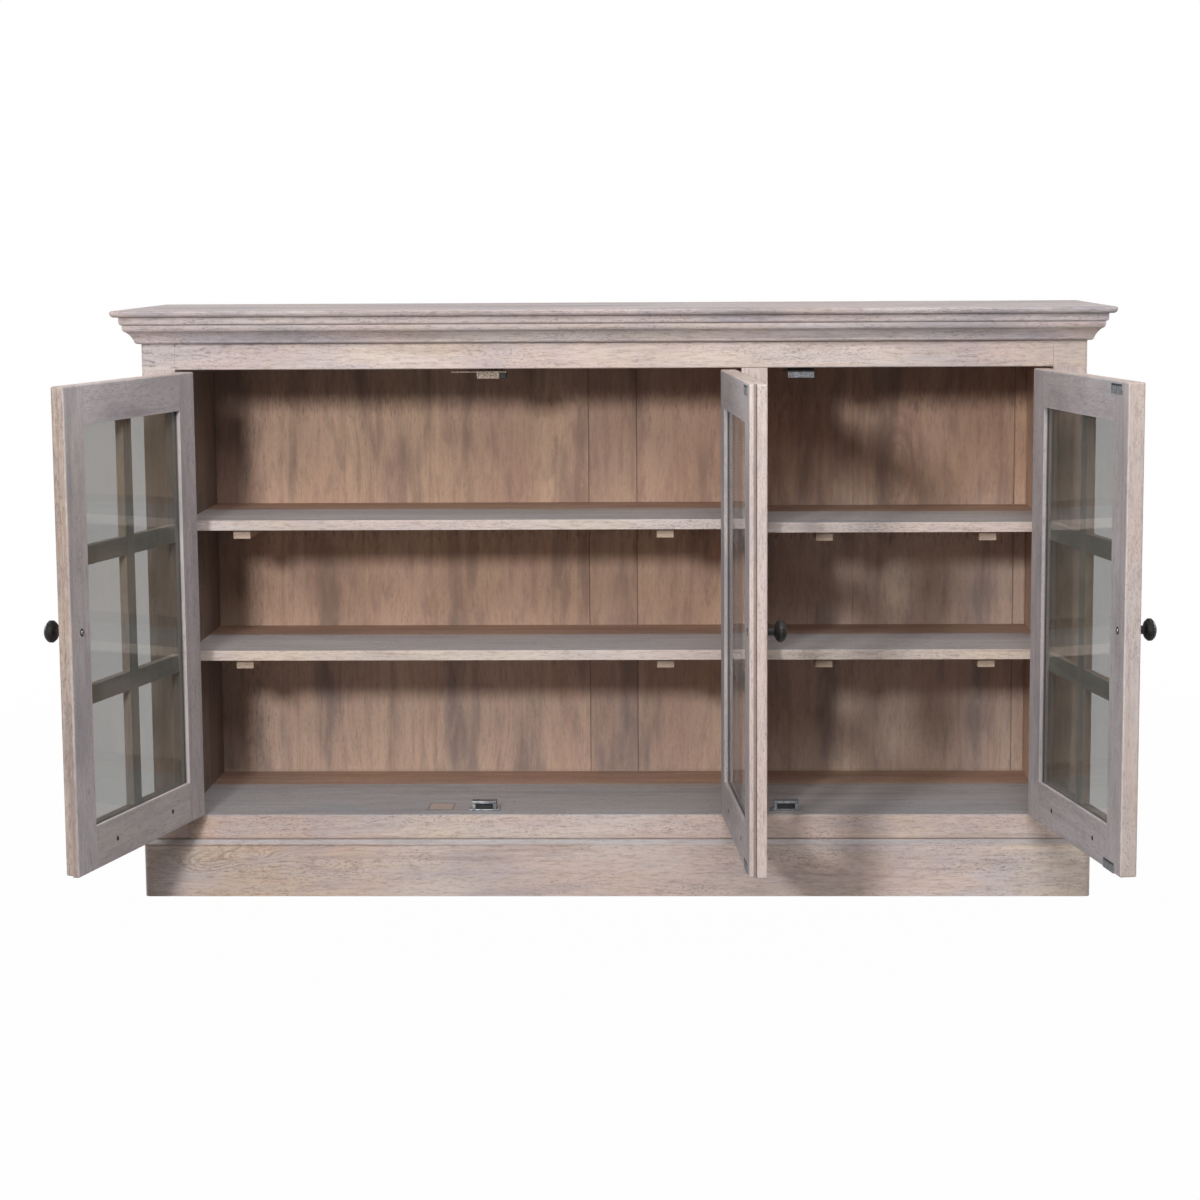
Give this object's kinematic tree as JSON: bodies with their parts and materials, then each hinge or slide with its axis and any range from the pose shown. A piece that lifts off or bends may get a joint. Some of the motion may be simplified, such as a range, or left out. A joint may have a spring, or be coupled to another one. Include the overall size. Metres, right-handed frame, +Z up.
{
  "type": "glazed sideboard",
  "caption": "Low washed-wood sideboard with glazed doors standing open, a moulded cornice and plinth, and shelves in two bays.",
  "frame": {"origin": "on the floor under the middle of the carcass, on the underside of the bearer", "axes": "+X along the front to the right, +Y from the front to the back, +Z up"},
  "size_m": [1.5284, 0.8264, 0.897],
  "materials": {
    "washed_wood": "white-washed, dry and matt",
    "grey_washed_wood": "grey-washed, matt",
    "brown_wood": "bare brown boards",
    "pane_glass": "clear float glass",
    "black_iron": "black, satin",
    "dull_steel": "dull",
    "catch_block": "tan block with a magnet"
  },
  "bodies": {
    "carcass": {"top_board": "washed_wood", "cornice_front": "washed_wood", "cornice_left": "washed_wood", "cornice_right": "washed_wood", "frame_stile_left": "washed_wood", "frame_stile_middle": "washed_wood", "frame_stile_right": "washed_wood", "frame_top_rail": "washed_wood", "frame_bottom_rail": "washed_wood", "side_panel_left": "washed_wood", "side_panel_right": "washed_wood", "partition": "brown_wood", "floor_panel": "grey_washed_wood", "back_panel": "brown_wood", "shelf_left_upper": "grey_washed_wood", "shelf_left_lower": "grey_washed_wood", "shelf_right_upper": "grey_washed_wood", "shelf_right_lower": "grey_washed_wood", "plinth_front": "washed_wood", "plinth_left": "washed_wood", "plinth_right": "washed_wood", "plinth_bearer": "brown_wood", "catch_left_top": "catch_block", "catch_left_floor": "dull_steel", "catch_right_top": "catch_block", "catch_right_floor": "dull_steel", "hinge_left_upper_frame_leaf": "dull_steel", "hinge_left_lower_frame_leaf": "dull_steel", "hinge_middle_upper_frame_leaf": "dull_steel", "hinge_middle_lower_frame_leaf": "dull_steel", "hinge_right_upper_frame_leaf": "dull_steel", "hinge_right_lower_frame_leaf": "dull_steel"},
    "left_door": {"door_left_hinge_stile": "washed_wood", "door_left_free_stile": "washed_wood", "door_left_top_rail": "washed_wood", "door_left_bottom_rail": "washed_wood", "door_left_glazing_bars": "washed_wood", "door_left_glass": "pane_glass", "door_left_knob": "black_iron", "hinge_left_upper_door_leaf": "dull_steel", "hinge_left_lower_door_leaf": "dull_steel"},
    "middle_door": {"door_middle_hinge_stile": "washed_wood", "door_middle_free_stile": "washed_wood", "door_middle_top_rail": "washed_wood", "door_middle_bottom_rail": "washed_wood", "door_middle_glazing_bars": "washed_wood", "door_middle_glass": "pane_glass", "door_middle_knob": "black_iron", "hinge_middle_upper_door_leaf": "dull_steel", "hinge_middle_lower_door_leaf": "dull_steel"},
    "right_door": {"door_right_hinge_stile": "washed_wood", "door_right_free_stile": "washed_wood", "door_right_top_rail": "washed_wood", "door_right_bottom_rail": "washed_wood", "door_right_glazing_bars": "washed_wood", "door_right_glass": "pane_glass", "door_right_knob": "black_iron", "hinge_right_upper_door_leaf": "dull_steel", "hinge_right_lower_door_leaf": "dull_steel"}
  },
  "joints": [
    {"name": "left_door_hinge", "type": "hinge", "parent": "carcass", "child": "left_door", "pos_m": [-0.65815, -0.1915, 0], "axis": [0, 0, -1], "range_deg": [-103.55, 66.45]},
    {"name": "middle_door_hinge", "type": "hinge", "parent": "carcass", "child": "middle_door", "pos_m": [0.19212, -0.1915, 0], "axis": [0, 0, 1], "range_deg": [-94.81, 55.19]},
    {"name": "right_door_hinge", "type": "hinge", "parent": "carcass", "child": "right_door", "pos_m": [0.65815, -0.1915, 0], "axis": [0, 0, 1], "range_deg": [-100.43, 69.57]}
  ]
}
